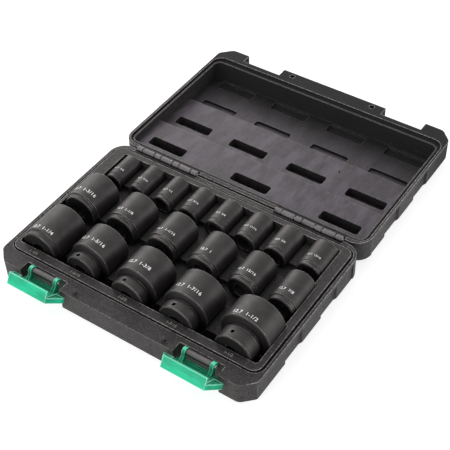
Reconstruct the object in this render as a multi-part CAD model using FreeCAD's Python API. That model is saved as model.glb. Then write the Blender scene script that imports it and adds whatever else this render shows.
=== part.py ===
"""Set of nineteen impact sockets in a hinged, blow-moulded carrying case, opened flat.

Every piece is drawn about the lid's hinge axis: X runs along the hinge, the base lies at Y < 0, the
opened lid at Y > 0, and Z = 0 is the parting face where the two halves meet when the case is shut.
The export moves the set so that its origin is the centre of the base's underside.
"""
import FreeCAD, Part
import math
import os

# ---------------------------------------------------------------- case halves, in millimetres
HALF_WIDTH = 150.0          # centre to the side of the rim
RIM_DEPTH = 191.0           # hinge axis to the front wall between the front blocks
BLOCK_DEPTH = 203.0         # hinge axis to the face of the front blocks
HALF_HEIGHT = 32.0          # parting face to the flat outside of one half
HINGE_GAP = 1.3             # hinge axis to each half's back wall
HINGE_CORNER = 18.0         # corner radii of the outline
FRONT_CORNER = 13.0
EDGE_BEVEL = 7.0            # bevel between the walls and the flat outside
FLANGE_HEIGHT = 4.0         # rim flange that stands out past the side walls
FLANGE_STEP = 1.2
SIDE_RECESS = 2.6           # grip recesses in the side walls
SIDE_RECESSES = ((51.0, 77.0), (115.0, 141.0))
SIDE_SLOPE = 0.8            # run of their slanted ends, per unit of depth

# ---------------------------------------------------------------- parting face
SIDE_GROOVE = (144.4, 146.8)            # dust groove of the base, from the centre
FRONT_GROOVE = (183.6, 185.0)           # from the hinge axis
BACK_GROOVE = (8.6, 6.2)
GROOVE_DEPTH = 3.0
GROOVE_CORNER = 12.0
TRAY_RISE = 1.2             # the tray's top stands this much into the lid
LID_GROOVE_CLEAR = 0.4      # wider than the base's groove all round
LID_FRONT_GROOVE = 178.6    # the lid's groove is wide along its front
LID_RIDGE_DROP = 1.7        # top of the lid's inner ridge below the parting face
LID_RIDGE = 1.8             # width of that ridge
FACE_GAP = 0.15             # half of the gap between the shut halves

# ---------------------------------------------------------------- inside of the lid
LID_LEVELS = ((60.0, 9.5), (117.5, 17.6), (176.8, 26.2))    # far edge from the hinge, depth
SLOT_SIZE = (46.0, 13.0)
SLOT_DEPTH = 29.0
SLOT_CORNER = 3.0
SLOT_ROWS = ((27.5, (-108.0, 0.0, 108.0)), (79.5, (-110.0, -37.0, 37.0, 110.0)),
             (128.0, (-110.0, -37.0, 37.0, 110.0)), (167.5, (-110.0, -37.0, 37.0, 110.0)))
VENT = (66.0, 101.0, 1.3)
PANEL_DEPTH = 1.2           # sunk panel in the lid's outside
PANEL_MARGIN = 26.0

# ---------------------------------------------------------------- hinge
HINGE_SPAN = (48.0, 127.0)  # one hinge each side of the centre
KNUCKLES = 7                # lid and base take turns, the lid has the outer ones
LID_KNUCKLE = 8.5           # length of a lid knuckle; the base's share what is left
KNUCKLE_RADIUS = 3.2
KNUCKLE_WEB = (1.4, 3.2)    # depths below the axis between which a knuckle meets its wall
KNUCKLE_GAP = 1.4
HINGE_PIN_RADIUS = 1.3
PIN_FIT = 0.05              # radial clearance of a pin in the piece that holds it
PIN_RUN = 0.10              # radial clearance of a pin in the piece that turns

# ---------------------------------------------------------------- latches
LATCH_X = 91.0
NOTCH_HALF = 24.6
LATCH_AXIS_Y = -195.8
LATCH_AXIS_Z = -1.4
LATCH_OPEN = 60.0           # degrees from shut to the stop
LATCH_HEIGHT = 24.3         # pin axis to the top of the lip
LATCH_REACH = 12.8          # pin axis to the outside of the plate
LATCH_WALL = 2.0
LIP_HALF = 23.6
LIP_TIP = 0.4               # the lip stops this far short of the pin's plane
BORDER = 1.4                # width of the rim round the hollows in the plate
WING_DEPTH = 2.4            # depth of the hollows beside the lip
SILL = (-4.0, -2.4, 3.4)    # wall between the ears: where it starts and ends up the plate, and its height
PLATE_HALF = 32.3
PLATE_START = 5.8           # the wide part of the plate begins here, above the pin
PLATE_SHOULDER = 8.2        # and its slanted corners begin here
LATCH_FACE_GAP = 0.3        # latch to the blocks' face
EAR_X = 15.4
EAR_HALF = 1.7
EAR_RADIUS = 4.4
EAR_STEM = 3.1              # half the depth of an ear where it leaves its round end
LATCH_PIN_RADIUS = 1.5
LATCH_PIN_HALF = 18.4
LUG_HALF = 13.1
LUG_RADIUS = 3.0
CATCH_HALF = 21.0
CATCH_REACH = 8.0           # out from the rim wall
CATCH_HEIGHT = (13.0, 20.1)  # above the parting face when shut

# ---------------------------------------------------------------- locating studs
STUD_X = 52.0
STUD_Y = 197.0
STUD_RADIUS = 2.6
STUD_HEIGHT = 2.6
STUD_CLEAR = 0.4

# ---------------------------------------------------------------- sockets
INCH = 25.4
DRIVE = 12.7                # square drive
DRIVE_FIT = 0.2
DRIVE_DEPTH = 16.0
WEB = 2.0                   # between the drive square and the hexagon
THROUGH_RADIUS = 7.6
THROUGH_LEDGE = 0.3         # at least this much web inside the hexagon's flats
HEX_FIT = 0.25
RIM_CHAMFER = 1.0
CROSS_HOLE_RADIUS = 2.0
RING_GROOVE = (3.4, 2.0)    # width and depth, behind the neck of a large socket
RING_CONE = 2.4             # cone from that groove up to the full diameter
SEAT_CLEAR = 0.4            # socket to its seat in the tray

# per row: Y of the hexagon ends, height of the axes, then for each socket its size in 1/16 inch,
# diameter, length, X, and the length and diameter of the neck at its drive end
BACK_ROW = (-16.0, -6.0, (
    (6, 20.8, 37.5, -120.5, 5.0, 19.8), (7, 21.8, 37.5, -89.5, 5.0, 20.6),
    (8, 22.8, 37.5, -57.0, 5.0, 21.4), (9, 24.0, 37.5, -25.0, 5.0, 22.8),
    (10, 25.2, 37.5, 9.0, 5.0, 24.0), (11, 26.6, 37.5, 44.5, 5.0, 25.2),
    (12, 27.6, 37.5, 79.5, 5.0, 26.2), (13, 28.8, 37.5, 118.0, 5.0, 27.2)))
MIDDLE_ROW = (-65.5, -4.0, (
    (19, 40.4, 42.0, -121.0, 5.0, 37.0), (18, 38.4, 42.0, -69.0, 5.0, 35.2),
    (17, 36.6, 42.0, -18.5, 5.0, 33.6), (16, 34.6, 42.0, 29.5, 5.0, 32.0),
    (15, 32.8, 42.0, 76.0, 5.0, 30.4), (14, 31.4, 42.0, 120.0, 5.0, 29.2)))
FRONT_ROW = (-123.5, -2.6, (
    (20, 43.0, 48.0, -119.0, 6.0, 39.6), (21, 45.0, 48.0, -66.5, 8.5, 35.0),
    (22, 47.0, 50.0, -9.0, 9.5, 36.6), (23, 49.2, 50.0, 48.0, 10.5, 38.0),
    (24, 54.0, 50.0, 111.0, 15.5, 39.4)))
GROOVED = 21                # from this size up the neck ends in a ring groove with a cross hole

# ---------------------------------------------------------------- tray
TROUGH_DEPTHS = (9.0, 11.0, 12.0)       # floor between the sockets of each row, back to front
BACK_CHANNEL = (-66.0, -47.0, 15.0)     # channels across the rows: Y range, depth
MIDDLE_CHANNEL = (-124.3, -99.0, 17.0)
FRONT_CHANNEL = (-174.6, -158.0, 24.0)
CHANNEL_CORNER = 3.0

OVER = 10.0                             # how far a cutting tool passes the surface it opens

X_AXIS = FreeCAD.Vector(1, 0, 0)
Y_AXIS = FreeCAD.Vector(0, 1, 0)
Z_AXIS = FreeCAD.Vector(0, 0, 1)


def vec(x, y, z=0.0):
    return FreeCAD.Vector(x, y, z)


def box(x0, x1, y0, y1, z0, z1):
    return Part.makeBox(x1 - x0, y1 - y0, z1 - z0, vec(x0, y0, z0))


def outline(corners):
    """Closed wire in the XY plane through (x, y, radius) corners, each rounded by a tangent arc."""
    points = [vec(x, y) for x, y, _ in corners]
    arcs = []
    for i, (_, _, radius) in enumerate(corners):
        here = points[i]
        back = (points[i - 1] - here).normalize()
        ahead = (points[(i + 1) % len(points)] - here).normalize()
        if radius == 0:
            arcs.append((here, None, here))
            continue
        half = math.acos(max(-1.0, min(1.0, back.dot(ahead)))) / 2
        run = radius / math.tan(half)
        middle = here + (back + ahead).normalize() * (radius / math.sin(half) - radius)
        arcs.append((here + back * run, middle, here + ahead * run))
    edges = []
    for i, (start, middle, end) in enumerate(arcs):
        if middle is not None:
            edges.append(Part.Arc(start, middle, end).toShape())
        following = arcs[(i + 1) % len(arcs)][0]
        if end.distanceToPoint(following) > 1e-6:
            edges.append(Part.LineSegment(end, following).toShape())
    return Part.Wire(edges)


def slab(corners, z0, z1):
    """Upright prism over a rounded outline."""
    face = Part.Face(outline(corners))
    face.translate(vec(0, 0, z0))
    return face.extrude(vec(0, 0, z1 - z0))


def rect(x0, x1, y0, y1, front, back=None):
    """Corners of a rectangle, with one radius at its low-Y end and one at its high-Y end."""
    back = front if back is None else back
    return ((x0, y0, front), (x1, y0, front), (x1, y1, back), (x0, y1, back))


def barrel(radius, x0, x1, y=0.0, z=0.0):
    """Cylinder along X."""
    return Part.makeCylinder(radius, x1 - x0, vec(x0, y, z), X_AXIS)


def fuse(shapes):
    first, *others = shapes
    return first.fuse(others).removeSplitter() if others else first


# ---------------------------------------------------------------- what both halves share
def case_envelope():
    """One half without its details: flat outside, bevelled edges, parting face at the top."""
    cut = FRONT_CORNER
    soft = EDGE_BEVEL + 1.5
    body = slab(((-HALF_WIDTH, -BLOCK_DEPTH + cut, soft), (-HALF_WIDTH + cut, -BLOCK_DEPTH, soft),
                 (HALF_WIDTH - cut, -BLOCK_DEPTH, soft), (HALF_WIDTH, -BLOCK_DEPTH + cut, soft),
                 (HALF_WIDTH, -HINGE_GAP, HINGE_CORNER), (-HALF_WIDTH, -HINGE_GAP, HINGE_CORNER)),
                -HALF_HEIGHT, 0.0)
    low = [e for e in body.Edges if abs(e.BoundBox.ZMax + HALF_HEIGHT) < 1e-6]
    return body.makeChamfer(EDGE_BEVEL, low)


def case_half():
    """Outer form of the base; the lid is its mirror image."""
    half = case_envelope()
    tools = []
    for side in (-1, 1):
        centre = side * LATCH_X
        tools.append(box(centre - NOTCH_HALF, centre + NOTCH_HALF, -BLOCK_DEPTH - OVER, -RIM_DEPTH,
                         -HALF_HEIGHT - OVER, OVER))
        wall = HALF_WIDTH - FLANGE_STEP
        steps = [(wall, -BLOCK_DEPTH + FRONT_CORNER, -HINGE_GAP - HINGE_CORNER, 0.0)]
        steps += [(wall - SIDE_RECESS, -far, -near, SIDE_SLOPE) for near, far in SIDE_RECESSES]
        for x, y0, y1, slope in steps:
            spread = slope * (HALF_WIDTH + OVER - x)
            tools.append(slab(((side * x, y0, 0), (side * x, y1, 0),
                               (side * (HALF_WIDTH + OVER), y1 + spread, 0),
                               (side * (HALF_WIDTH + OVER), y0 - spread, 0)),
                              -HALF_HEIGHT - OVER, -FLANGE_HEIGHT))
    return half.cut(tools)


def knuckle_spans(side, lid):
    """X ranges of the knuckles that belong to the lid, or to the base, at one hinge."""
    start, end = HINGE_SPAN
    lids, bases = (KNUCKLES + 1) // 2, KNUCKLES // 2
    base_knuckle = (end - start - lids * LID_KNUCKLE) / bases
    spans = []
    for i in range(KNUCKLES):
        lids_before, bases_before = (i + 1) // 2, i // 2
        x = start + lids_before * LID_KNUCKLE + bases_before * base_knuckle
        if (i % 2 == 0) == lid:
            spans.append((x, x + (LID_KNUCKLE if lid else base_knuckle)))
    return [tuple(sorted((side * a, side * b))) for a, b in spans]


def add_knuckles(half, lid):
    """Fuse this half's knuckles on, clear the other half's, and bore for the pins."""
    toward = 1 if lid else -1
    bore = HINGE_PIN_RADIUS + (PIN_RUN if lid else PIN_FIT)
    reach = KNUCKLE_RADIUS + KNUCKLE_GAP + 0.5
    top, bottom = KNUCKLE_WEB
    own, clear, bores = [], [], []
    for side in (-1, 1):
        for x0, x1 in knuckle_spans(side, lid):
            a, b = x0 + KNUCKLE_GAP / 2, x1 - KNUCKLE_GAP / 2
            y0, y1 = sorted((0.0, toward * reach))
            own.append(barrel(KNUCKLE_RADIUS, a, b))
            own.append(box(a, b, y0, y1, -bottom, -top))
        x0, x1 = sorted((side * HINGE_SPAN[0], side * HINGE_SPAN[1]))
        clear.append(barrel(KNUCKLE_RADIUS + KNUCKLE_GAP, x0 - KNUCKLE_GAP / 2, x1 + KNUCKLE_GAP / 2))
        bores.append(barrel(bore, x0 - OVER, x1 + OVER))
    half = half.cut(clear)
    half = fuse([half] + own)
    return half.cut(bores)


# ---------------------------------------------------------------- base
def seat(radius, x, z, y0, y1):
    """Half-round seat along Y that is open upwards."""
    round_part = Part.makeCylinder(radius, y1 - y0, vec(x, y0, z), Y_AXIS)
    return round_part.fuse(box(x - radius, x + radius, y0, y1, z, OVER))


def neck_end(sixteenths, neck):
    """Distance from the drive end to the end of the neck, or of the ring groove behind it."""
    return neck + (RING_GROOVE[0] if sixteenths >= GROOVED else 0.0)


def row_seats(row):
    """Seats of one row of sockets, narrow at their drive ends and wide at their hexagon ends."""
    hex_y, axis_z, sockets = row
    seats = []
    for sixteenths, diameter, length, x, neck, neck_diameter in sockets:
        drive_y = hex_y - length - SEAT_CLEAR
        step = drive_y + neck_end(sixteenths, neck)
        seats.append(seat(diameter / 2 + SEAT_CLEAR, x, axis_z, step, hex_y + SEAT_CLEAR))
        seats.append(seat(neck_diameter / 2 + SEAT_CLEAR, x, axis_z, drive_y, step + 1.0))
    return seats


def row_cut(row, y0, y1, depth):
    """Cut across a row, as wide as the row's outermost seats."""
    low = min(s[3] - s[1] / 2 for s in row[2]) - SEAT_CLEAR
    high = max(s[3] + s[1] / 2 for s in row[2]) + SEAT_CLEAR
    return slab(rect(low, high, y0, y1, CHANNEL_CORNER), -depth, OVER)


def tray_cuts():
    """Everything that is cut out of the tray: troughs, finger channels and the sockets' seats."""
    cuts = []
    rows = ((BACK_ROW, BACK_CHANNEL), (MIDDLE_ROW, MIDDLE_CHANNEL), (FRONT_ROW, FRONT_CHANNEL))
    for (row, (y0, y1, depth)), trough in zip(rows, TROUGH_DEPTHS):
        cuts.append(row_cut(row, y0, y1, depth))
        cuts.append(row_cut(row, y0, row[0] + SEAT_CLEAR, trough))
        cuts += row_seats(row)
    return cuts


def base_case():
    half = case_half()
    inner = rect(-SIDE_GROOVE[0], SIDE_GROOVE[0], -FRONT_GROOVE[0], -BACK_GROOVE[0],
                 GROOVE_CORNER - 2.6)
    outer = rect(-SIDE_GROOVE[1], SIDE_GROOVE[1], -FRONT_GROOVE[1], -BACK_GROOVE[1], GROOVE_CORNER)
    half = half.cut(slab(outer, -GROOVE_DEPTH, OVER))
    half = half.cut(box(-HALF_WIDTH - OVER, HALF_WIDTH + OVER, -BLOCK_DEPTH - OVER, OVER, -FACE_GAP, OVER))
    half = half.fuse(slab(inner, -GROOVE_DEPTH, TRAY_RISE))
    half = add_knuckles(half, lid=False)
    half = half.cut(tray_cuts())
    extras = []
    for side in (-1, 1):
        centre = side * LATCH_X
        extras.append(barrel(LUG_RADIUS, centre - LUG_HALF, centre + LUG_HALF, LATCH_AXIS_Y, LATCH_AXIS_Z))
        extras.append(box(centre - LUG_HALF, centre + LUG_HALF, LATCH_AXIS_Y, -RIM_DEPTH + 1.0,
                          LATCH_AXIS_Z - LUG_RADIUS, LATCH_AXIS_Z))
        stud = Part.makeCylinder(STUD_RADIUS, STUD_HEIGHT + 2.0, vec(side * STUD_X, -STUD_Y, -2.0))
        top = [e for e in stud.Edges if e.BoundBox.ZMin > STUD_HEIGHT - 0.01]
        extras.append(stud.makeFillet(0.8, top))
    half = fuse([half] + extras)
    bores = [barrel(LATCH_PIN_RADIUS + PIN_FIT, side * LATCH_X - LUG_HALF - OVER / 2,
                    side * LATCH_X + LUG_HALF + OVER / 2, LATCH_AXIS_Y, LATCH_AXIS_Z) for side in (-1, 1)]
    return half.cut(bores)


# ---------------------------------------------------------------- lid, drawn open
def lid_case():
    half = case_half().mirror(vec(0, 0), Y_AXIS)
    clear = LID_GROOVE_CLEAR
    ring_in = SIDE_GROOVE[0] + 0.2
    back_in = BACK_GROOVE[0]
    groove = rect(-SIDE_GROOVE[1] - clear, SIDE_GROOVE[1] + clear, BACK_GROOVE[1] - clear / 2,
                  FRONT_GROOVE[0] + 1.0, GROOVE_CORNER)
    ridge = rect(-ring_in, ring_in, back_in, LID_FRONT_GROOVE, GROOVE_CORNER - 3.0)
    tools = [slab(groove, -GROOVE_DEPTH - clear, OVER)]
    half = half.cut(tools)
    half = half.fuse(slab(ridge, -GROOVE_DEPTH - clear, -LID_RIDGE_DROP))
    half = half.cut(box(-HALF_WIDTH - OVER, HALF_WIDTH + OVER, -OVER, BLOCK_DEPTH + OVER, -FACE_GAP, OVER))
    half = add_knuckles(half, lid=True)
    inside = ring_in - LID_RIDGE
    near = back_in + LID_RIDGE
    levels = []
    for far, depth in LID_LEVELS:
        last = far == LID_LEVELS[-1][0]
        first = near == back_in + LID_RIDGE
        levels.append(slab(rect(-inside, inside, near, far, 7.0 if first else 0.0, 7.0 if last else 0.0),
                           -depth, OVER))
        near = far
    slot_x, slot_y = SLOT_SIZE
    for y, centres in SLOT_ROWS:
        for x in centres:
            levels.append(slab(rect(x - slot_x / 2, x + slot_x / 2, y - slot_y / 2, y + slot_y / 2,
                                    SLOT_CORNER), -SLOT_DEPTH, OVER))
    x, y, radius = VENT
    levels.append(Part.makeCylinder(radius, SLOT_DEPTH - LID_LEVELS[1][1], vec(x, y, -SLOT_DEPTH + 6.0)))
    margin = PANEL_MARGIN
    levels.append(slab(rect(-HALF_WIDTH + margin, HALF_WIDTH - margin, margin, RIM_DEPTH - margin, 14.0),
                       -HALF_HEIGHT - OVER, -HALF_HEIGHT + PANEL_DEPTH))
    for side in (-1, 1):
        levels.append(Part.makeCylinder(STUD_RADIUS + STUD_CLEAR, STUD_HEIGHT + STUD_CLEAR + OVER,
                                        vec(side * STUD_X, STUD_Y, -STUD_HEIGHT - STUD_CLEAR)))
    half = half.cut(levels)
    low, high = CATCH_HEIGHT
    catches = []
    for side in (-1, 1):
        centre = side * LATCH_X
        catch = box(centre - CATCH_HALF, centre + CATCH_HALF, RIM_DEPTH - 1.0, RIM_DEPTH + CATCH_REACH,
                    -high, -low)
        outer = [e for e in catch.Edges if e.BoundBox.YMin > RIM_DEPTH + CATCH_REACH - 0.01
                 and e.BoundBox.XLength > 1.0]
        catches.append(catch.makeFillet(1.5, outer))
    return fuse([half] + catches)


# ---------------------------------------------------------------- latches
def latch_to_case(shape, side):
    """From the latch's own shut frame (X across, Y up the plate, Z outwards) to the open latch."""
    shape.rotate(vec(0, 0), X_AXIS, 90.0 + LATCH_OPEN)
    shape.translate(vec(side * LATCH_X, LATCH_AXIS_Y, LATCH_AXIS_Z))
    return shape


def wing_hollows(rim_edge):
    """The two three-cornered hollows beside the lip, a border's width in from the plate's outline."""
    run, rise = PLATE_HALF - LIP_HALF, LATCH_HEIGHT - PLATE_SHOULDER
    inset = BORDER * math.hypot(run, rise)
    low, near, far = PLATE_START + BORDER, LIP_HALF - LATCH_WALL / 2, PLATE_HALF - BORDER

    def slant(x):
        """Height of the inset edge of the slanted corner at X = x."""
        return PLATE_SHOULDER + (rise * (PLATE_HALF - x) - inset) / run

    hollows = []
    for side in (-1, 1):
        points = [(near, low), (far, low), (far, slant(far)), (near, slant(near))]
        hollows.append(slab([(side * x, y, 0) for x, y in points[::side]], rim_edge - OVER,
                            rim_edge + WING_DEPTH))
    return hollows


def latch(side):
    face = -BLOCK_DEPTH - LATCH_AXIS_Y          # the blocks' face, measured along the latch's -Z
    rim_edge = -face + LATCH_FACE_GAP
    inside = LATCH_REACH - LATCH_WALL
    wide = ((-PLATE_HALF, PLATE_START, 1.0), (PLATE_HALF, PLATE_START, 1.0),
            (PLATE_HALF, PLATE_SHOULDER, 1.5), (LIP_HALF, LATCH_HEIGHT, 1.0),
            (-LIP_HALF, LATCH_HEIGHT, 1.0), (-PLATE_HALF, PLATE_SHOULDER, 1.5))
    plate = slab(wide, rim_edge, LATCH_REACH)
    wall = LATCH_WALL
    hollow = rect(-LIP_HALF + wall, LIP_HALF - wall, PLATE_START - OVER, LATCH_HEIGHT - wall, 0.5)
    plate = plate.cut([slab(hollow, rim_edge - OVER, inside)] + wing_hollows(rim_edge))
    start, end, height = SILL
    tongue = box(-LIP_HALF + 1.0, LIP_HALF - 1.0, start, PLATE_START + 1.0, inside, LATCH_REACH)
    sill = box(-EAR_X, EAR_X, start, end, inside + wall / 2 - height, inside + wall / 2)
    lip = box(-LIP_HALF, LIP_HALF, LATCH_HEIGHT - wall, LATCH_HEIGHT, LIP_TIP, inside + wall / 2)
    rib = box(-EAR_X + EAR_HALF, EAR_X - EAR_HALF, PLATE_SHOULDER, PLATE_SHOULDER + 1.6,
              inside - 1.8, inside + wall / 2)
    pieces = [plate, tongue, sill, lip, rib]
    for x in (-EAR_X, EAR_X):
        pieces.append(barrel(EAR_RADIUS, x - EAR_HALF, x + EAR_HALF))
        web = Part.Face(Part.makePolygon([vec(x - EAR_HALF, -EAR_STEM, 0), vec(x - EAR_HALF, EAR_STEM, 0),
                                          vec(x - EAR_HALF, EAR_STEM, EAR_RADIUS),
                                          vec(x - EAR_HALF, EAR_RADIUS + 1.5, inside + wall / 2),
                                          vec(x - EAR_HALF, start, inside + wall / 2),
                                          vec(x - EAR_HALF, -EAR_STEM, EAR_RADIUS),
                                          vec(x - EAR_HALF, -EAR_STEM, 0)]))
        pieces.append(web.extrude(vec(2 * EAR_HALF, 0, 0)))
    shape = fuse(pieces).cut(barrel(LATCH_PIN_RADIUS + PIN_RUN, -PLATE_HALF, PLATE_HALF))
    return latch_to_case(shape, side)


def latch_pin(side):
    centre = side * LATCH_X
    return barrel(LATCH_PIN_RADIUS, centre - LATCH_PIN_HALF, centre + LATCH_PIN_HALF,
                  LATCH_AXIS_Y, LATCH_AXIS_Z)


def hinge_pin(side):
    x0, x1 = sorted((side * HINGE_SPAN[0], side * HINGE_SPAN[1]))
    return barrel(HINGE_PIN_RADIUS, x0, x1)


# ---------------------------------------------------------------- sockets
def hexagon(flats, y0, y1):
    corner = flats / math.sqrt(3)
    points = [vec(corner * math.cos(math.radians(60 * i)), y0, corner * math.sin(math.radians(60 * i)))
              for i in range(7)]
    return Part.Face(Part.makePolygon(points)).extrude(vec(0, y1 - y0, 0))


def socket(sixteenths, diameter, length, neck, neck_diameter):
    """One socket along Y: drive end at Y = 0, hexagon end at Y = length."""
    radius = diameter / 2
    small = neck_diameter / 2
    grooved = sixteenths >= GROOVED
    flats = sixteenths * INCH / 16 + HEX_FIT
    groove_width, groove_depth = RING_GROOVE
    c = RIM_CHAMFER
    profile = [(0, 0), (small - c, 0), (small, c)]
    if grooved:
        floor = small - groove_depth
        profile += [(small, neck - c / 2), (small - c / 2, neck), (floor, neck + c),
                    (floor, neck + groove_width), (radius - c, neck + groove_width + RING_CONE - c / 2),
                    (radius, neck + groove_width + RING_CONE + c / 2)]
    else:
        profile += [(small, neck), (radius, neck + c)]
    profile += [(radius, length - c), (radius - c, length), (0, length), (0, 0)]
    face = Part.Face(Part.makePolygon([vec(r, y) for r, y in profile]))
    body = face.revolve(vec(0, 0), Y_AXIS, 360.0)
    half = (DRIVE + DRIVE_FIT) / 2
    through = min(THROUGH_RADIUS, flats / 2 - THROUGH_LEDGE)
    lead = flats / math.sqrt(3)
    hex_start = max(DRIVE_DEPTH, neck_end(sixteenths, neck) + RING_CONE) + WEB
    tools = [box(-half, half, -OVER, DRIVE_DEPTH, -half, half),
             Part.makeCylinder(through, length + 2 * OVER, vec(0, -OVER, 0), Y_AXIS),
             hexagon(flats, hex_start, length + OVER),
             Part.makeCone(lead - 0.8, lead + 0.4, 1.2, vec(0, length - 1.2, 0), Y_AXIS)]
    if grooved:
        tools.append(Part.makeCylinder(CROSS_HOLE_RADIUS, 2 * radius, vec(0, neck / 2, 0), vec(-0.22, 0, 1)))
    return body.cut(tools)


def size_name(sixteenths):
    """Node name of a size: 22 sixteenths of an inch is socket_1_3_8."""
    whole, part = divmod(sixteenths, 16)
    words = [str(whole)] if whole else []
    if part:
        divisor = math.gcd(part, 16)
        words += [str(part // divisor), str(16 // divisor)]
    return "socket_" + "_".join(words)


def all_sockets():
    for hex_y, axis_z, sizes in (BACK_ROW, MIDDLE_ROW, FRONT_ROW):
        for sixteenths, diameter, length, x, neck, neck_diameter in sizes:
            shape = socket(sixteenths, diameter, length, neck, neck_diameter)
            shape.translate(vec(x, hex_y - length, axis_z))
            yield size_name(sixteenths), shape


# ---------------------------------------------------------------- export
def main():
    os.makedirs("parts", exist_ok=True)
    nodes = {"base_case": base_case(), "lid_case": lid_case()}
    for side, word in ((-1, "left"), (1, "right")):
        nodes["hinge_pin_" + word] = hinge_pin(side)
        nodes["latch_pin_" + word] = latch_pin(side)
        nodes["latch_" + word] = latch(side)
    nodes.update(all_sockets())
    hinge_y = (BLOCK_DEPTH + HINGE_GAP) / 2
    for name, shape in nodes.items():
        shape.translate(vec(0, hinge_y, HALF_HEIGHT))
        solids = shape.Solids
        shape = solids[0] if len(solids) == 1 else Part.makeCompound(solids)
        shape.exportStep("parts/" + name + ".step")
        box_now = shape.BoundBox
        print(name, "solids", len(solids), "valid", shape.isValid(), "cm3", round(shape.Volume / 1000, 2),
              "x", round(box_now.XMin, 2), round(box_now.XMax, 2), "y", round(box_now.YMin, 2),
              round(box_now.YMax, 2), "z", round(box_now.ZMin, 2), round(box_now.ZMax, 2))




main()
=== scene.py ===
# %% [markdown]
# # A case of impact sockets, seen open
#
# Nineteen black sockets lie in three rows in the base of a blow-moulded plastic case. The lid lies
# flat behind it and two green latches hang open in front. The CAD frame gives every real shape.
# This lesson adds what a CAD solid has no place for: the finishes, the numbers printed on the steel
# and those moulded into the plastic, and the light to see them in.
#
# Lengths are in metres in the frame's own axes: X along the hinge, Y towards the lid, Z up.

# %% Load the frame
import math

import bmesh
import bpy
import numpy as np
from mathutils import Matrix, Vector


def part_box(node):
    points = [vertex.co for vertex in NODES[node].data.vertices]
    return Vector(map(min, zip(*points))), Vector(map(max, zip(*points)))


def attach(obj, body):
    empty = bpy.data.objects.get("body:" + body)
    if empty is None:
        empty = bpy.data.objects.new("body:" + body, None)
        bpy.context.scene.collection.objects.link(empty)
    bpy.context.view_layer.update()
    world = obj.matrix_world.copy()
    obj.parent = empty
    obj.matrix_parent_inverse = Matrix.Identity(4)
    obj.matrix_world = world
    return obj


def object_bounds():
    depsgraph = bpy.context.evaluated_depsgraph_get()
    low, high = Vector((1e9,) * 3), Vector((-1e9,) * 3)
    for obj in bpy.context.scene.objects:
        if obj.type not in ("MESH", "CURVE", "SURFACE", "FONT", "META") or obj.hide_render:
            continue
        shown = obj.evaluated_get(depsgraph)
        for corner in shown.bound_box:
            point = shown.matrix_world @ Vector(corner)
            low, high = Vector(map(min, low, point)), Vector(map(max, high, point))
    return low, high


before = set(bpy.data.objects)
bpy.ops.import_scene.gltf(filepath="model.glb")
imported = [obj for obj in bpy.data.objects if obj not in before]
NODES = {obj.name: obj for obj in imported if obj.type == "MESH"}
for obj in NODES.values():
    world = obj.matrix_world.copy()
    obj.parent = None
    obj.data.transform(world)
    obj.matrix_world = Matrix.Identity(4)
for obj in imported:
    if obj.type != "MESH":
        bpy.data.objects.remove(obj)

MM = 0.001
CAD_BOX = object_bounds()
SOCKETS = sorted((n for n in NODES if n.startswith("socket_")), key=lambda n: tuple(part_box(n)[0]))
print(len(NODES), "nodes,", len(SOCKETS), "of them sockets")
print("box in metres", [tuple(round(v, 4) for v in corner) for corner in CAD_BOX])

# %% [markdown]
# ## Node arithmetic
#
# A finish is mostly arithmetic on a few patterns. Written node by node that arithmetic is hard to
# follow, so a `Wire` stands for one node output and answers to `+ - * **`, with numbers on either
# side of the first three. `between` turns any pattern into a mask.

# %% Wire
class Wire:
    """A node's output. Arithmetic on it adds Math nodes to the same material."""

    def __init__(self, paint, socket):
        self.paint, self.socket = paint, socket

    def math(self, operation, a, b):
        """The value of operation on a and b, either of which may be a plain number."""
        return self.paint.node("ShaderNodeMath", {"operation": operation}, {0: a, 1: b})

    def __add__(self, other):
        return self.math("ADD", self, other)

    def __sub__(self, other):
        return self.math("SUBTRACT", self, other)

    def __rsub__(self, other):
        return self.math("SUBTRACT", other, self)

    def __mul__(self, other):
        return self.math("MULTIPLY", self, other)

    def __pow__(self, other):
        return self.math("POWER", self, other)

    __radd__ = __add__
    __rmul__ = __mul__

    def between(self, low, high):
        """0 at or below low, 1 at or above high, and a smooth step from one to the other."""
        settings = {"interpolation_type": "SMOOTHSTEP"}
        inputs = {"Value": self, "From Min": low, "From Max": high}
        return self.paint.node("ShaderNodeMapRange", settings, inputs)


print("a Wire answers to", [n.strip("_") for n in vars(Wire) if callable(vars(Wire)[n])])

# %% [markdown]
# ## One material
#
# A `Paint` is one material. Everything that isn't arithmetic goes through `Paint.node`, which takes
# the kind of node, its settings and what its sockets hold. Object coordinates arrive in metres, but
# grain and wear are easier to think of in millimetres, so they are scaled once, at the start.

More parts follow.
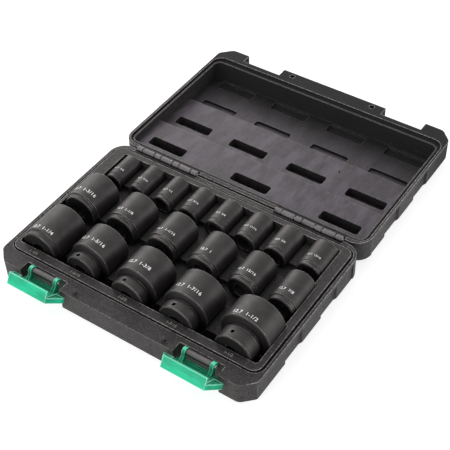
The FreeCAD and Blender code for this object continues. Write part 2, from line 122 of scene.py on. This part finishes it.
# %% Paint
class Paint:
    """One material, started with the object's coordinates in millimetres."""

    def __init__(self, name):
        self.material = bpy.data.materials.new(name)
        self.material.use_nodes = True
        self.tree = self.material.node_tree
        self.tree.nodes.clear()
        place = self.node("ShaderNodeTexCoord", out="Object")
        scale = {0: place, "Scale": 1 / MM}
        self.mm = self.node("ShaderNodeVectorMath", {"operation": "SCALE"}, scale)

    def node(self, kind, settings=None, inputs=None, out=0):
        """Adds a node, sets its properties, fills or wires its inputs, and returns one output."""
        node = self.tree.nodes.new(kind)
        for key, value in (settings or {}).items():
            setattr(node, key, value)
        for key, value in (inputs or {}).items():
            if isinstance(value, Wire):
                self.tree.links.new(value.socket, node.inputs[key])
            else:
                node.inputs[key].default_value = value
        return Wire(self, node.outputs[out])

    def mix(self, low, high, factor):
        """Colour low where factor is 0 and colour high where it is 1."""
        return self.node("ShaderNodeMix", {"data_type": "RGBA"}, {0: factor, 6: low, 7: high}, out=2)

    def bump(self, height, depth, normal):
        """Tilts a normal by a height pattern whose full range is depth millimetres."""
        inputs = {"Height": height, "Distance": depth * MM, "Normal": normal}
        return self.node("ShaderNodeBump", {}, inputs)

    def finish(self, **inputs):
        """The shader itself. Names are the Principled inputs with underscores for spaces."""
        inputs = {key.replace("_", " "): value for key, value in inputs.items()}
        shader = self.node("ShaderNodeBsdfPrincipled", {}, inputs)
        output = self.tree.nodes.new("ShaderNodeOutputMaterial")
        self.tree.links.new(shader.socket, output.inputs["Surface"])
        return self.material


def grey(value, warm=0.0):
    """Opaque grey, leaning to red and away from blue by warm."""
    return (value * (1 + warm), value, value * (1 - warm), 1.0)


print("a Paint can add", [n for n in vars(Paint) if n[0] != "_"])

# %% [markdown]
# ## The patterns every finish shares
#
# A `Skin` is a paint that knows where it is: noise, pebbles, the place on the object, how exposed a
# surface is, and where its edges are. Edges matter most. A real moulding or turning has a small
# radius on every edge, which catches the light as a thin line and is where the wear starts. The
# solids have sharp edges, so the Bevel node supplies the radius. Where its rounded normal leans away
# from the flat one there is an edge. The finishes paint wear and highlights along these edges, and
# paint shade where a surface is little exposed.

# %% Skin
class Skin(Paint):
    """A material whose patterns follow the surface and the place on the object."""

    def stretched(self, x, y, z):
        """The millimetre coordinates, each axis scaled by its own factor."""
        inputs = {0: self.mm, 1: (x, y, z)}
        return self.node("ShaderNodeVectorMath", {"operation": "MULTIPLY"}, inputs)

    def noise(self, size, detail=2.0, where=None, roughness=0.5):
        """Soft random pattern around 0.5 whose blobs are about size millimetres across."""
        inputs = {"Vector": where or self.mm, "Scale": 1 / size, "Detail": detail, "Roughness": roughness}
        return self.node("ShaderNodeTexNoise", {}, inputs)

    def cells(self, size, smooth=0.6):
        """Distance to the nearest of scattered points, which reads as rounded pebbles."""
        inputs = {"Vector": self.mm, "Scale": 1 / size, "Smoothness": smooth}
        return self.node("ShaderNodeTexVoronoi", {"feature": "SMOOTH_F1"}, inputs)

    def rounded(self, radius):
        """Normal of the surface as if its edges had this radius, in millimetres."""
        return self.node("ShaderNodeBevel", {"samples": 8}, {"Radius": radius * MM})

    def edge(self, rounded, low, high):
        """1 along sharp edges and 0 on flats, from 1 minus the rounded normal dotted with the true one."""
        inputs = {0: rounded, 1: self.node("ShaderNodeNewGeometry", out="True Normal")}
        same = self.node("ShaderNodeVectorMath", {"operation": "DOT_PRODUCT"}, inputs, out="Value")
        return (1.0 - same).between(low, high)

    def open_sky(self, distance):
        """1 where nothing stands near and 0 deep in a corner, looking this many millimetres around."""
        inputs = {"Distance": distance * MM}
        return self.node("ShaderNodeAmbientOcclusion", {"samples": 8}, inputs, out="AO")

    def along(self, axis):
        """One of the millimetre coordinates."""
        return self.node("ShaderNodeSeparateXYZ", {}, {0: self.mm}, out=axis)

    def facing(self, normal, axis):
        """How far a normal points along an axis, from -1 to 1."""
        return self.node("ShaderNodeSeparateXYZ", {}, {0: normal}, out=axis)

    def near_pin(self, node, reach, fade=0.5):
        """1 within reach millimetres of a pin along X or of its mirror image, and 0 beyond.

        Distance is the root of y squared plus z squared, both taken from the pin's middle line.
        """
        low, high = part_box(node)
        away_y = self.along("Y") - (low[1] + high[1]) / 2 / MM
        away_z = self.along("Z") - (low[2] + high[2]) / 2 / MM
        aside = self.node("ShaderNodeMath", {"operation": "ABSOLUTE"}, {0: self.along("X")})
        inner, outer = sorted(abs(end[0]) / MM for end in (low, high))
        within = aside.between(inner - fade, inner) * (1.0 - aside.between(outer, outer + fade))
        distance = (away_y * away_y + away_z * away_z) ** 0.5
        return within * (1.0 - distance.between(reach - fade, reach))


print("a Skin can add", [n for n in vars(Skin) if n[0] != "_"])

# %% [markdown]
# ## Dressing the solids
#
# Each solid comes from the CAD with one plain material. Its shape is right already, so it is kept
# and only its material changes. Many pieces are made of the same stuff, so they share one finish.

# %% Dress
def dress(names, material):
    """Gives CAD nodes one material in place of the plain one they come with."""
    for name in names:
        NODES[name].data.materials.clear()
        NODES[name].data.materials.append(material)
    print(material.name, "on", len(names), "nodes")


print("nodes to dress:", len(NODES))

# %% [markdown]
# ## Where the case is which finish
#
# The halves are blown polyethylene, coloured black right through, and yet no two regions look alike.
# The floor of the lid was blown against a smooth core. The hinge knuckles and the latch lugs are
# paled by wear from every opening and by a painted highlight on top, and the channel beside the
# knuckles and the recess behind each lug get painted shade. Each region is a mask on the
# coordinates, read off the CAD boxes where it can be.

# %% Regions of the case
# All in millimetres. A pair says where a mask starts to change and where it is done.
LID_FLOOR_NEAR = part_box("lid_case")[0][1] / MM + 12.0
# Painted shade darkens the lid over this stretch of Y.
LID_FLOOR_FAR = (LID_FLOOR_NEAR + 95.0, LID_FLOOR_NEAR + 175.0)
LID_FLOOR_TOP = (27.5, 29.0)
LID_FLOOR_BOTTOM = (1.5, 2.5)
RIM_TOP = (30.0, 31.5)
BEHIND_FRONT_EDGE = (-97.0, -92.0)
KNUCKLE_REACH, CHANNEL_REACH = 3.8, 7.5
LUG_REACH, NOTCH_REACH = 4.6, 24.0
NOTCH_TOP = (26.0, 28.0)


def lid_floor(p, soft):
    """1 on the lid's floor: past its hinge side, below its rim, above its slots, and facing up."""
    core = p.along("Y").between(LID_FLOOR_NEAR, LID_FLOOR_NEAR + 2.0)
    core = core * (1.0 - p.along("Z").between(*LID_FLOOR_TOP))
    return core * p.along("Z").between(*LID_FLOOR_BOTTOM) * p.facing(soft, "Z").between(0.3, 0.8)


def pin_regions(p, soft):
    """Masks of knuckles and lug tops, for wear and painted highlight, and of painted shade by hinge and
    latches.
    """
    knuckle = p.near_pin("hinge_pin_right", KNUCKLE_REACH)
    lug = p.near_pin("latch_pin_right", LUG_REACH)
    # Lugs count only on their upper side, where the painted highlight falls.
    rubbed_and_highlit = knuckle + lug * p.facing(soft, "Z").between(0.0, 0.8)
    hinge_channel_shade = p.near_pin("hinge_pin_right", CHANNEL_REACH) - knuckle
    latch_notch_shade = p.near_pin("latch_pin_right", NOTCH_REACH) - lug
    return rubbed_and_highlit, hinge_channel_shade, latch_notch_shade * (1.0 - p.along("Z").between(*NOTCH_TOP))


print("lid floor from Y", round(LID_FLOOR_NEAR, 1), "mm, darker to", round(LID_FLOOR_FAR[1], 1), "mm")

# %% [markdown]
# ## Case plastic
#
# The tool was sandblasted, so the skin has a fine pebble grain, and painted highlights put pale specks
# on it. The lid's floor is glossier and carries a painted sheen with faint drag lines, under painted
# shade that deepens towards the end away from the hinge. Handling wears the edges paler, a painted
# highlight makes them paler still, and handling leaves short grey scuffs on the flats. Blowing also
# leaves flats a little wavy, so a wide, weak pattern drives the roughness and a faint bump. Colours
# are mixed in this order: plastic, painted specks, painted sheen, painted shade towards the lid's end,
# scuffs, pale edges, painted shade in corners, painted shade by the hinge and latches, then the pale
# knuckles and lugs. Edges on top of the rim get the most wear and painted highlight, apart from the
# outer edge of the front.

# %% Case plastic
DARK_PLASTIC, PLAIN_PLASTIC = grey(0.001, 0.10), (0.034, 0.029, 0.030, 1.0)
# Colour of the painted sheen on the lid floor.
PAINTED_SHEEN_TONE = (0.080, 0.068, 0.086, 1.0)
# Pale tone for the knuckles and lug tops: wear plus a painted highlight.
RUBBED_AND_HIGHLIT_TONE = (0.170, 0.156, 0.166, 1.0)
SHADE = grey(0.001)


def painted_sheen_pattern(p, drag, blotch, mottle):
    """How strong the lid floor's painted sheen is: a weighted sum of drag lines, two noises and wide
    patches.
    """
    streak = drag.between(0.30, 0.70)
    patch = p.noise(22.0, 3.0, p.stretched(1.5, 0.6, 1.0), 0.6).between(0.40, 0.62)
    return 0.32 * streak + 0.20 * blotch + 0.20 * mottle + 0.50 * patch


def case_plastic():
    """Black pebbled polyethylene: colours mixed by masks, and grain, pits and waves as bumps."""
    p = Skin("case_plastic")
    soft = p.rounded(0.6)
    edge = p.edge(p.rounded(1.6), 0.01, 0.14)
    open_sky = p.open_sky(6.0).between(0.30, 0.98)
    core = lid_floor(p, soft)
    rubbed_and_highlit, hinge_channel_shade, latch_notch_shade = pin_regions(p, soft)
    far_shade = p.along("Y").between(*LID_FLOOR_FAR)
    rim = p.along("Z").between(*RIM_TOP) * p.along("Y").between(*BEHIND_FRONT_EDGE)

    grain = p.cells(0.62)
    pits = p.noise(0.35, 3.0)
    waves = p.noise(38.0, 2.0)
    blotch = p.noise(7.0, 4.0, roughness=0.6)
    mottle = p.noise(1.9, 3.0, roughness=0.65)
    drag = p.noise(0.9, 2.0, p.stretched(1.0, 0.03, 1.0))
    scuff = p.noise(1.3, 3.0, p.stretched(0.10, 1.0, 1.0)).between(0.60, 0.75)
    scuff = scuff * p.noise(21.0).between(0.48, 0.66)
    speck = p.noise(1.0, 2.0, roughness=0.7).between(0.56, 0.66)

    patches = mottle.between(0.38, 0.66) * 0.6 + blotch.between(0.3, 0.75) * 0.4
    tone = p.mix(DARK_PLASTIC, PLAIN_PLASTIC, patches)
    # Painted highlights: pale specks on the grain, as if single pebbles caught the light, kept off the lid
    # floor.
    tone = p.mix(tone, grey(0.085, 0.04), speck * 0.6 * (1.0 - core))
    painted_sheen = core * (1.0 - 0.7 * far_shade) * painted_sheen_pattern(p, drag, blotch, mottle)
    # Painted sheen on the lid floor: a pale reflection laid into the colour.
    tone = p.mix(tone, PAINTED_SHEEN_TONE, painted_sheen)
    # Painted shade: the lid darkens towards its end away from the hinge.
    tone = p.mix(tone, SHADE, far_shade * 0.85)
    tone = p.mix(tone, grey(0.10, 0.02), scuff * 0.35)
    # Edges paler from wear and from a painted highlight, most on top of the rim and least on its outer
    # front edge.
    edge_wear_and_highlight = edge * (0.10 + 0.9 * mottle.between(0.3, 0.7)) * (0.22 + 0.60 * rim)
    tone = p.mix(tone, grey(0.60, 0.02), edge_wear_and_highlight)
    # Painted shade: corners and crevices darken by how little is open around them.
    tone = p.mix(grey(0.003), tone, open_sky)
    # Painted shade in the channel beside the hinge knuckles and in the recess behind each latch lug.
    tone = p.mix(tone, SHADE, hinge_channel_shade * 0.9)
    tone = p.mix(tone, SHADE, latch_notch_shade * 0.9)
    # Knuckles and lug tops: paled by wear, with a painted highlight on top of it.
    tone = p.mix(tone, RUBBED_AND_HIGHLIT_TONE, rubbed_and_highlit * 0.8 * open_sky)

    rough = 0.48 + 0.14 * waves + 0.10 * pits - 0.24 * edge - 0.10 * core + 0.24 * far_shade - 0.34 * rubbed_and_highlit
    pebbles = (grain * 0.6 + pits * 0.4 + mottle * 1.2) * (1.0 - 0.75 * core)
    fine = p.bump(pebbles + drag * core * 0.4, 0.30, soft)
    wavy = p.bump(waves, 1.2, fine)
    return p.finish(Base_Color=tone, Roughness=rough, Normal=wavy, IOR=1.5, Specular_IOR_Level=0.36)


dress(["base_case", "lid_case"], case_plastic())

# %% [markdown]
# ## Latch plastic
#
# The latches are injection moulded in a clear mid green. Their skin is much smoother than the case:
# a satin polish with the swirl where the melt slowed down, and hairline scratches along the plate
# from sliding in and out of bags. A pale painted highlight runs along the edges, and faces that look
# straight up get a paler painted highlight.

# %% Latch plastic
DEEP_GREEN, CLEAR_GREEN = (0.001, 0.28, 0.145, 1.0), (0.002, 0.43, 0.235, 1.0)
# Pale green for the painted edge highlight and for the scratches.
HIGHLIGHT_AND_SCRATCH_GREEN = (0.50, 1.0, 0.82, 1.0)
# Pale green for the painted highlight on faces that look straight up.
TOP_HIGHLIGHT_GREEN = (0.14, 0.90, 0.55, 1.0)


def latch_plastic():
    """Satin green polypropylene: a slow swirl, painted highlights on edges and tops, and fine scratches.
    """
    p = Skin("latch_plastic")
    soft = p.rounded(0.5)
    edge = p.edge(p.rounded(1.4), 0.01, 0.18)
    flow = p.noise(9.0, 3.0, p.stretched(0.35, 1.0, 1.0))
    speck = p.noise(0.5, 3.0)
    scratch = p.noise(0.5, 2.0, p.stretched(0.03, 1.0, 1.0)).between(0.62, 0.70)
    scratch = scratch * p.noise(8.0).between(0.45, 0.65)
    green = p.mix(DEEP_GREEN, CLEAR_GREEN, flow.between(0.3, 0.7))
    # Painted highlight along the edges, and pale scratches.
    green = p.mix(green, HIGHLIGHT_AND_SCRATCH_GREEN, edge * 0.85 + scratch * 0.15)
    # Painted highlight on faces that look straight up.
    green = p.mix(green, TOP_HIGHLIGHT_GREEN, p.facing(soft, "Z").between(0.80, 1.0) * 0.7)
    rough = 0.30 + 0.14 * flow + 0.06 * speck + 0.12 * scratch
    skin = p.bump(speck * 0.4 + flow - 0.4 * scratch, 0.08, soft)
    return p.finish(Base_Color=green, Roughness=rough, Normal=skin, IOR=1.49, Specular_IOR_Level=0.20)


dress(["latch_left", "latch_right"], latch_plastic())

# %% [markdown]
# ## Black phosphate steel
#
# The sockets are turned from forged bar and then boiled in a phosphate bath. The crystals leave a
# dull charcoal skin that soaks up oil, so it looks matt where dry and slightly glossy where wiped.
# Under it the lathe's feed lines still run round the socket. They depend only on the distance along
# the axis, so a pattern stretched out almost to rings gives them. The skin is thinnest on the turned
# edges, where the steel grins through, and a painted highlight on the same edges makes them brighter.
# The cross hole in the neck of a large socket is drilled, not turned, and nothing rubs on its edge,
# so the wear and highlight leave out the band that it lies in. Faces that look towards the front,
# the drive ends among them, get painted shade and are blacker, and so do corners.

# %% Socket steel
DRY_SKIN, OILED_SKIN = (0.016, 0.013, 0.0135, 1.0), (0.027, 0.023, 0.0235, 1.0)
BARE_STEEL = grey(0.58, 0.03)
DRILLED_START, DRILLED_END, DRILLED_FADE = 2.0, 10.5, 1.0


def drilled_band(p):
    """1 over the length of the large sockets' cross holes, measured from their drive ends."""
    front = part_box("socket_1_1_2")[0][1] / MM
    start, end = front + DRILLED_START, front + DRILLED_END
    before_end = 1.0 - p.along("Y").between(end, end + DRILLED_FADE)
    return p.along("Y").between(start, start + DRILLED_FADE) * before_end


def socket_steel():
    """Phosphated steel: oil and crystals, rings as a bump, edge wear plus painted highlight and shade."""
    p = Skin("black_steel")
    soft = p.rounded(0.25)
    edge = p.edge(p.rounded(1.2), 0.01, 0.12)
    sky = p.open_sky(6.0).between(0.1, 0.8)
    rings = p.noise(0.30, 2.0, p.stretched(0.012, 1.0, 0.012))
    crystal = p.noise(0.16, 3.0)
    oil = p.noise(11.0, 3.0)
    rub = p.noise(1.6, 4.0, p.stretched(1.0, 0.45, 1.0)).between(0.58, 0.72)
    rub = rub * oil.between(0.40, 0.62)
    # Turned edges: wear and a painted highlight share this mask.
    edge_wear_and_glint = edge * (0.30 + 0.7 * p.noise(2.2, 3.0).between(0.3, 0.7)) * sky
    edge_wear_and_glint = edge_wear_and_glint * (1.0 - 0.85 * drilled_band(p))
    # Faces that look towards the front, for painted shade.
    front_face_shade = p.facing(soft, "Y").between(-0.6, -0.95)

    skin = p.mix(DRY_SKIN, OILED_SKIN, oil.between(0.3, 0.7))
    skin = p.mix(skin, grey(0.05, 0.04), crystal.between(0.50, 0.80) * 0.5 + rub * 0.4)
    # Steel colour on the turned edges: wear, with a painted highlight on top.
    skin = p.mix(skin, BARE_STEEL, edge_wear_and_glint * 0.8)
    # Painted shade on faces that look towards the front, the drive ends among them.
    skin = p.mix(skin, grey(0.003), front_face_shade * 0.85)
    # Painted shade in the sockets' corners and crevices.
    skin = p.mix(grey(0.002), skin, sky)
    rough = 0.50 - 0.14 * oil + 0.10 * crystal - 0.12 * edge_wear_and_glint
    metal = 0.25 + 0.15 * edge_wear_and_glint
    bump = p.bump(rings * 0.6 + crystal * 0.5, 0.035, soft)
    return p.finish(Base_Color=skin, Roughness=rough, Metallic=metal, Normal=bump, Specular_IOR_Level=0.4)


dress(SOCKETS, socket_steel())

# %% [markdown]
# ## Pins
#
# The four pins are cut from drawn wire, which leaves fine lines along the length. They are bare but
# oiled, so they keep a bright, slightly grey shine with darker film in places.

# %% Pin steel
def pin_steel():
    """Drawn wire: lines along X as a bump, and a patchy film of oil over bright metal."""
    p = Skin("pin_steel")
    drawn = p.noise(0.22, 2.0, p.stretched(0.02, 1.0, 1.0))
    film = p.noise(3.0, 3.0)
    tone = p.mix(grey(0.55), grey(0.30, 0.05), film.between(0.4, 0.7))
    rough = 0.24 + 0.18 * drawn + 0.12 * film
    lines = p.bump(drawn, 0.02, p.rounded(0.2))
    return p.finish(Base_Color=tone, Metallic=0.9, Roughness=rough, Normal=lines)


dress([n for n in NODES if "_pin_" in n], pin_steel())

# %% [markdown]
# ## Numbers
#
# Each socket is printed with the width of its drive square in millimetres and its own size in
# inches, and the tray repeats the large sizes in raised digits. Both start as flat lettering. Long
# strokes are cut across every so often, or they would pass through a barrel instead of bending
# round it.

# %% Lettering
CAPITAL_SHARE = 0.69    # how much of the text size a capital's height is
CUT_SHARE = 0.35        # strokes are cut this many capital heights apart
MERGE_SHARE = 1e-4      # points closer than this share of the height are one


def flat_lettering(text, height, depth, bold=0.0, spacing=1.0):
    """Upright lettering centred on the origin, with capitals of this height and strokes widened by bold.

    Bold and spacing are shares: of the height, and of the usual step from one letter to the next.
    """
    curve = bpy.data.curves.new("lettering", "FONT")
    curve.body, curve.size, curve.extrude = text, height / CAPITAL_SHARE, depth / 2
    curve.offset, curve.space_character, curve.resolution_u = bold * height, spacing, 4
    curve.align_x, curve.align_y = "CENTER", "CENTER"
    carrier = bpy.data.objects.new("lettering", curve)
    bpy.context.collection.objects.link(carrier)
    mesh = bpy.data.meshes.new_from_object(carrier.evaluated_get(bpy.context.evaluated_depsgraph_get()))
    bpy.data.objects.remove(carrier)
    bpy.data.curves.remove(curve)
    work = bmesh.new()
    work.from_mesh(mesh)
    bmesh.ops.remove_doubles(work, verts=work.verts, dist=height * MERGE_SHARE)
    reach = max(abs(v.co.x) for v in work.verts)
    for x in np.arange(-reach, reach, CUT_SHARE * height):
        bmesh.ops.bisect_plane(work, geom=[*work.verts, *work.edges, *work.faces],
                               plane_co=(x, 0, 0), plane_no=(1, 0, 0))
    bmesh.ops.triangulate(work, faces=work.faces)
    bmesh.ops.recalc_face_normals(work, faces=work.faces)
    work.to_mesh(mesh)
    work.free()
    return mesh


def size_text(node):
    """The inch size in a node's name: socket_1_3_8 reads 1-3/8, socket_7_8 reads 7/8."""
    words = node.split("_")[1:]
    if len(words) == 1:
        return words[0]
    return "-".join(words[:-2] + ["/".join(words[-2:])])


print("sizes", [size_text(n) for n in SOCKETS])

# %% [markdown]
# ## Pieces that ride
#
# A number has to stay on its socket when the socket is lifted. So each piece made here is bound to
# the body it sits on, and is told whose finish it belongs to. Its place goes into its points, and
# the object itself stays at the origin.

# %% Placing a piece
def points_of(mesh):
    """A mesh's points as an array with one row each."""
    flat = np.empty(len(mesh.vertices) * 3)
    mesh.vertices.foreach_get("co", flat)
    return flat.reshape(-1, 3)


def placed_piece(name, mesh, points, material, body):
    """Makes an object of the mesh with new points, and has it ride on a CAD body."""
    mesh.name = name
    mesh.vertices.foreach_set("co", points.ravel())
    mesh.materials.clear()
    mesh.materials.append(material)
    mesh.update()
    piece = bpy.data.objects.new(name, mesh)
    bpy.context.collection.objects.link(piece)
    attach(piece, body)


# %% [markdown]
# ## Print on the barrels
#
# The print runs round the barrel and reads from the drive end. Flat lettering becomes printed
# lettering by rolling: distance along the line turns into an angle round the axis, angle = distance
# / radius, and the lettering's own thickness adds to the radius. It stands 0.04 mm proud, as a
# printed film does, and starts just inside the steel so that no light shows under it. On the
# long-necked sockets it sits at half the length from the drive end, and on the others nearer.

# %% Print the sockets
DRIVE_TEXT = "12.7  "
FILM_DEPTH = 0.08 * MM
LEAN = math.radians(-6.0)
# Radius above which a row holds, share of the socket's length, and height of the capitals.
PRINT_ROWS = ((0.0220, 0.52, 0.0038),
              (0.0212, 0.23, 0.0038),
              (0.0200, 0.33, 0.0038),
              (0.0150, 0.33, 0.0029),
              (0.0, 0.37, 0.0021))


def print_paint():
    """White ink that wore through to grey in spots."""
    p = Skin("print_white")
    wear = p.noise(0.45, 3.0).between(0.52, 0.72)
    tone = p.mix(grey(0.85), grey(0.30), wear * 0.5)
    normal = p.bump(p.noise(0.2), 0.02, p.node("ShaderNodeNewGeometry", out="Normal"))
    return p.finish(Base_Color=tone, Roughness=0.5 + 0.2 * wear, Normal=normal)


def roll_on(points, axis_x, axis_z, radius, y):
    """Rolls flat lettering round a barrel along Y: x becomes an angle, y stays, z adds to the radius."""
    angle = points[:, 0] / radius + LEAN
    out = radius + points[:, 2]
    return np.stack([axis_x + out * np.sin(angle), y + points[:, 1], axis_z + out * np.cos(angle)], axis=1)


PRINT = print_paint()
for node in SOCKETS:
    low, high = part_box(node)
    radius, length = (high[0] - low[0]) / 2, high[1] - low[1]
    share, height = next(row[1:] for row in PRINT_ROWS if radius > row[0])
    mesh = flat_lettering(DRIVE_TEXT + size_text(node), height, FILM_DEPTH, bold=0.018, spacing=1.12)
    points = roll_on(points_of(mesh), (low[0] + high[0]) / 2, (low[2] + high[2]) / 2,
                     radius, low[1] + share * length)
    placed_piece("print_" + node, mesh, points, PRINT, node)
print("printed", len(SOCKETS), "sockets")

# %% [markdown]
# ## Rubbed plastic
#
# Raised digits on a black moulding are the first thing that sleeves and tools rub, so their tops go
# grey and smooth while the plastic beside them stays black, and a painted highlight along their edges
# adds to the wear there. It is the case plastic with the grain gone, so it gets a finish of its own.

# %% Rubbed plastic
def rubbed_plastic():
    """Smoothed case plastic: dark grey, paler where it wore, paler still with a painted edge highlight."""
    p = Skin("rubbed_plastic")
    soft = p.rounded(0.3)
    rub = p.noise(0.8, 3.0).between(0.35, 0.65)
    edge = p.edge(p.rounded(0.5), 0.02, 0.25)
    # Wear, raised along the edges by a painted highlight.
    tone = p.mix(grey(0.10, 0.03), grey(0.60, 0.03), rub * (0.35 + 0.65 * edge))
    return p.finish(Base_Color=tone, Roughness=0.30 + 0.15 * rub, Normal=p.bump(rub, 0.06, soft), IOR=1.5)


RUBBED = rubbed_plastic()
print("made", RUBBED.name)

# %% [markdown]
# ## Digits moulded in the tray
#
# In front of each large socket the tray repeats its size in raised digits. They come from letters
# cut into the tool, so they are one piece with the tray. Their height is found by dropping a line
# onto the tray from above, which keeps them seated whatever the tray's shape there.

# %% Moulded digits
DIGITS_Y, DIGITS_HEIGHT, DIGITS_DEPTH = -0.0768, 3.2 * MM, 0.7 * MM
ABOVE_ALL = 0.2
LARGE_WIDTH = 0.042
FRONT_SOCKETS = [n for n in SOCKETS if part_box(n)[1][0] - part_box(n)[0][0] > LARGE_WIDTH]


def surface_height(node, x, y):
    """Height of a CAD node's uppermost surface over a point."""
    hit, place, _, _ = NODES[node].ray_cast((x, y, ABOVE_ALL), (0, 0, -1))
    assert hit, (node, x, y)
    return place[2]


for node in FRONT_SOCKETS:
    low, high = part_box(node)
    x = (low[0] + high[0]) / 2
    top = surface_height("base_case", x, DIGITS_Y)
    mesh = flat_lettering(size_text(node), DIGITS_HEIGHT, DIGITS_DEPTH)
    points = points_of(mesh) + (x, DIGITS_Y, top)
    placed_piece("digits_" + node, mesh, points, RUBBED, "base")
print("digits in front of", FRONT_SOCKETS)

# %% [markdown]
# ## Floor
#
# A pale matt floor gives the case something to stand on and keeps its soft shadow. It glows a little
# by itself, so that it is white without more light falling on the black plastic. It lies a hair below
# the underside, so the two surfaces never share a plane.

# %% Floor
FLOOR_HALF, FLOOR_Z = 4.0, -0.0002
FLOOR_GREY, FLOOR_GLOW = 0.45, 0.75
floor_mesh = bpy.data.meshes.new("floor")
corners = [(x * FLOOR_HALF, y * FLOOR_HALF, FLOOR_Z) for x, y in ((-1, -1), (1, -1), (1, 1), (-1, 1))]
floor_mesh.from_pydata(corners, [], [(0, 1, 2, 3)])
floor = bpy.data.objects.new("floor", floor_mesh)
bpy.context.collection.objects.link(floor)
floor_mesh.materials.append(Paint("floor").finish(
    Base_Color=grey(FLOOR_GREY), Roughness=0.8, Emission_Color=grey(1.0), Emission_Strength=FLOOR_GLOW))
print("floor", 2 * FLOOR_HALF, "m wide")

# %% [markdown]
# ## Lamps
#
# Black things are seen by what they reflect. One large soft lamp behind and to the left draws the
# bright bands on the sockets, a small one above and one at the right open up the shade, and a wide
# low one in front lights the front face and the latches. Their light leans a little to red.

# %% Lamps
LAMP_TINT = (1.0, 0.96, 0.95)


def facing_frame(place, back):
    """Matrix of an object at a place that looks along minus back, with its X axis kept level.

    Its X axis is the unit cross product of up and back, and its Y axis that of back and X.
    """
    right = np.cross((0.0, 0.0, 1.0), back)
    right = right / np.linalg.norm(right)
    turn = np.eye(4)
    turn[:3, 0], turn[:3, 1], turn[:3, 2], turn[:3, 3] = right, np.cross(back, right), back, place
    return turn


def soft_lamp(name, place, aim, size, power):
    """Square area lamp at a place, turned towards a point."""
    data = bpy.data.lights.new(name, "AREA")
    data.size, data.energy, data.color = size, power, LAMP_TINT
    lamp = bpy.data.objects.new(name, data)
    back = np.array(place) - np.array(aim)
    lamp.matrix_world = Matrix(facing_frame(place, back / np.linalg.norm(back)))
    bpy.context.collection.objects.link(lamp)
    return lamp


MIDDLE = [(a + b) / 2 for a, b in zip(*CAD_BOX)]
soft_lamp("back_lamp", (-1.15, 1.05, 0.65), MIDDLE, 1.1, 15.0)
soft_lamp("top_lamp", (-0.2, 0.7, 1.4), MIDDLE, 0.8, 2.5)
soft_lamp("side_lamp", (1.3, 0.9, 0.35), MIDDLE, 0.7, 6.0)
soft_lamp("front_lamp", (-0.3, -1.5, 0.55), MIDDLE, 1.0, 18.0)
print("lamps in watts", {data.name: data.energy for data in bpy.data.lights})

# %% [markdown]
# ## Surround
#
# Looked at directly or in a reflection, the surround is pure white, as a studio cove is. As a light
# on matt surfaces it is dimmer, because an even white from all sides would leave black plastic with no
# shape at all.

# %% World
SEEN_STRENGTH, LIT_STRENGTH = 1.0, 0.6


def surround(seen, lit):
    """World whose strength is seen for camera, glossy and transmission rays, and lit for diffuse ones."""
    world = bpy.data.worlds.new("surround")
    world.use_nodes = True
    tree = world.node_tree
    tree.nodes.clear()
    kinds = ("LightPath", "Math", "Math", "Mix", "Background", "OutputWorld")
    path, either, any_of, strength, light, output = (tree.nodes.new("ShaderNode" + kind) for kind in kinds)
    either.operation = any_of.operation = "MAXIMUM"
    strength.inputs["A"].default_value, strength.inputs["B"].default_value = lit, seen
    light.inputs["Color"].default_value = grey(1.0)
    for start, end in ((path.outputs["Is Camera Ray"], either.inputs[0]),
                       (path.outputs["Is Glossy Ray"], either.inputs[1]),
                       (either.outputs[0], any_of.inputs[0]),
                       (path.outputs["Is Transmission Ray"], any_of.inputs[1]),
                       (any_of.outputs[0], strength.inputs["Factor"]),
                       (strength.outputs["Result"], light.inputs["Strength"]),
                       (light.outputs[0], output.inputs["Surface"])):
        tree.links.new(start, end)
    return world


bpy.context.scene.world = surround(SEEN_STRENGTH, LIT_STRENGTH)
print("surround seen at", SEEN_STRENGTH, "and lighting at", LIT_STRENGTH)

# %% [markdown]
# ## Camera
#
# The case is looked at from the front right and from well above, so that all three rows show over one
# another and the whole inside of the lid is in view. The lens is long, which keeps the rows almost
# parallel. The camera is rolled just under 2 degrees clockwise, so the case tips the other way.

# %% Camera
AZIMUTH, ELEVATION, ROLL = math.radians(35.310), math.radians(45.408), math.radians(-1.854)
CAMERA_PLACE = (0.44743, -0.55079, 0.78654)
SENSOR_WIDTH, LENS = 36.0, 84.67
CLIP_START, CLIP_END = 0.05, 20.0

back = np.array([math.sin(AZIMUTH) * math.cos(ELEVATION),
                 -math.cos(AZIMUTH) * math.cos(ELEVATION),
                 math.sin(ELEVATION)])
camera = bpy.data.objects.new("camera", bpy.data.cameras.new("camera"))
camera.data.sensor_width, camera.data.lens = SENSOR_WIDTH, LENS
camera.data.clip_start, camera.data.clip_end = CLIP_START, CLIP_END
camera.matrix_world = Matrix(facing_frame(CAMERA_PLACE, back)) @ Matrix.Rotation(ROLL, 4, "Z")
bpy.context.collection.objects.link(camera)
bpy.context.scene.camera = camera
bpy.context.scene.view_settings.view_transform = "Standard"
distance = float(np.linalg.norm(np.array(CAMERA_PLACE) - np.array(MIDDLE)))
print("camera", round(distance, 3), "m from the middle")

# %% [markdown]
# ## Sizes
#
# The looks must not change the part's size; the frame's box is printed at the start. The printed
# numbers stand 0.04 mm proud of the barrels, and only the tallest barrel reaches the top of the box.
